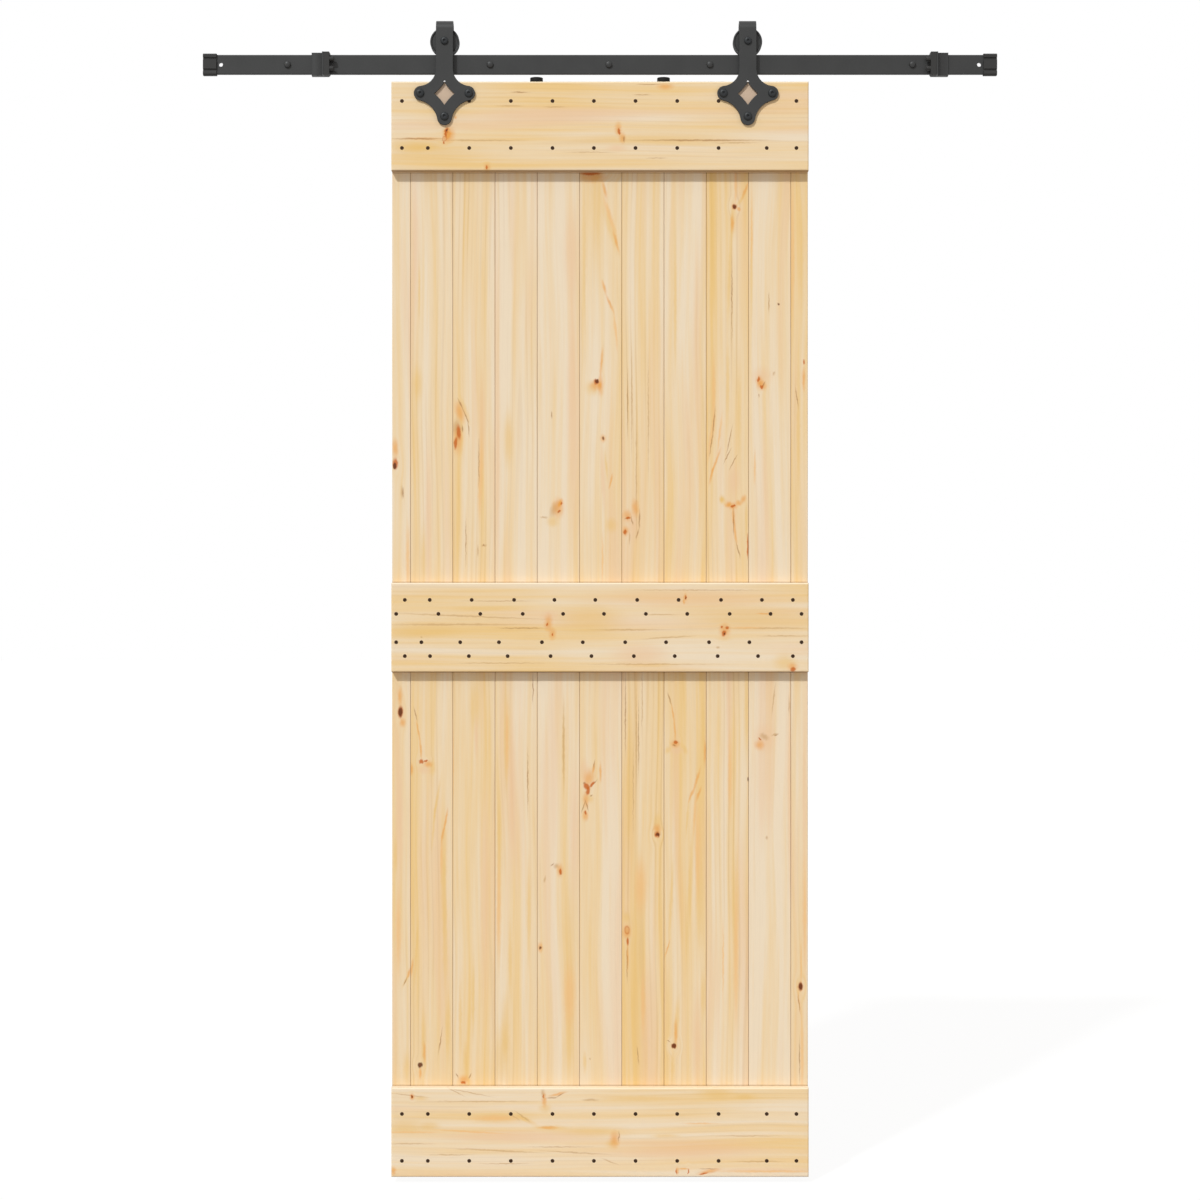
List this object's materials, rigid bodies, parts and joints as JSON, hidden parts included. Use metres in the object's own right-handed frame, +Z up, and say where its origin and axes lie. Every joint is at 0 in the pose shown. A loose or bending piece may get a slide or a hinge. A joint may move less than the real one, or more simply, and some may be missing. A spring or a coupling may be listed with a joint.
{
  "type": "sliding barn door with flat-bar track",
  "caption": "Sliding plank door with three ledges, hung by star-plate hangers and grooved wheels on a flat-bar track with stops, spacers and wall bolts.",
  "frame": {"origin": "on the wall's face, at the middle of the rail's length and height, which is the middle of the outer pair of wall bolts", "axes": "+X along the rail to the right as seen from the room, +Y into the wall, +Z up"},
  "size_m": [1.524, 0.1045, 2.2179],
  "materials": {
    "pine": "pale knotty pine, sanded, bare",
    "black_steel": "satin black powder coat",
    "grey_steel": "satin dark grey powder coat",
    "bronze_screw": "dark bronze coated screws",
    "bright_steel": "ground bearing steel and zinc plate",
    "black_rubber": "matt black moulding"
  },
  "bodies": {
    "rail": {"rail": "grey_steel", "rail_bolts": "black_steel", "rail_spacers": "black_steel", "stop_clip_left": "black_steel", "stop_clip_right": "black_steel", "stop_set_screws": "black_steel", "stop_buffer_left": "black_rubber", "stop_buffer_right": "black_rubber", "end_cap_left": "black_rubber", "end_cap_right": "black_rubber"},
    "door": {"left_edge_board": "pine", "board_1": "pine", "board_2": "pine", "board_3": "pine", "board_4": "pine", "board_5": "pine", "board_6": "pine", "board_7": "pine", "board_8": "pine", "board_9": "pine", "right_edge_board": "pine", "top_ledge": "pine", "middle_ledge": "pine", "bottom_ledge": "pine", "top_ledge_screws": "bronze_screw", "middle_ledge_screws": "bronze_screw", "bottom_ledge_screws": "bronze_screw", "hanger_left": "black_steel", "hanger_right": "black_steel", "bearing_inner_left": "bright_steel", "bearing_inner_right": "bright_steel", "axle_bolts": "black_steel", "axle_nuts": "black_steel", "plate_screws": "black_steel", "anti_jump_discs": "black_rubber", "disc_screws": "bright_steel"},
    "left_wheel": {"wheel_left": "black_steel", "bearing_outer_left": "bright_steel"},
    "right_wheel": {"wheel_right": "black_steel", "bearing_outer_right": "bright_steel"}
  },
  "joints": [
    {"name": "door_slide", "type": "slide", "parent": "rail", "child": "door", "axis": [1, 0, 0], "range_m": [-0.1946, 0.3244]},
    {"name": "left_wheel_spin", "type": "hinge", "parent": "door", "child": "left_wheel", "pos_m": [-0.29789, -0.038, 0.0427], "axis": [0, 1, 0], "continuous": true},
    {"name": "right_wheel_spin", "type": "hinge", "parent": "door", "child": "right_wheel", "pos_m": [0.28319, -0.038, 0.0427], "axis": [0, 1, 0], "continuous": true}
  ],
  "couplings": [
    {"joint": "left_wheel_spin", "follows": "door_slide", "rad_per_m": 42.553},
    {"joint": "right_wheel_spin", "follows": "door_slide", "rad_per_m": 42.553}
  ]
}
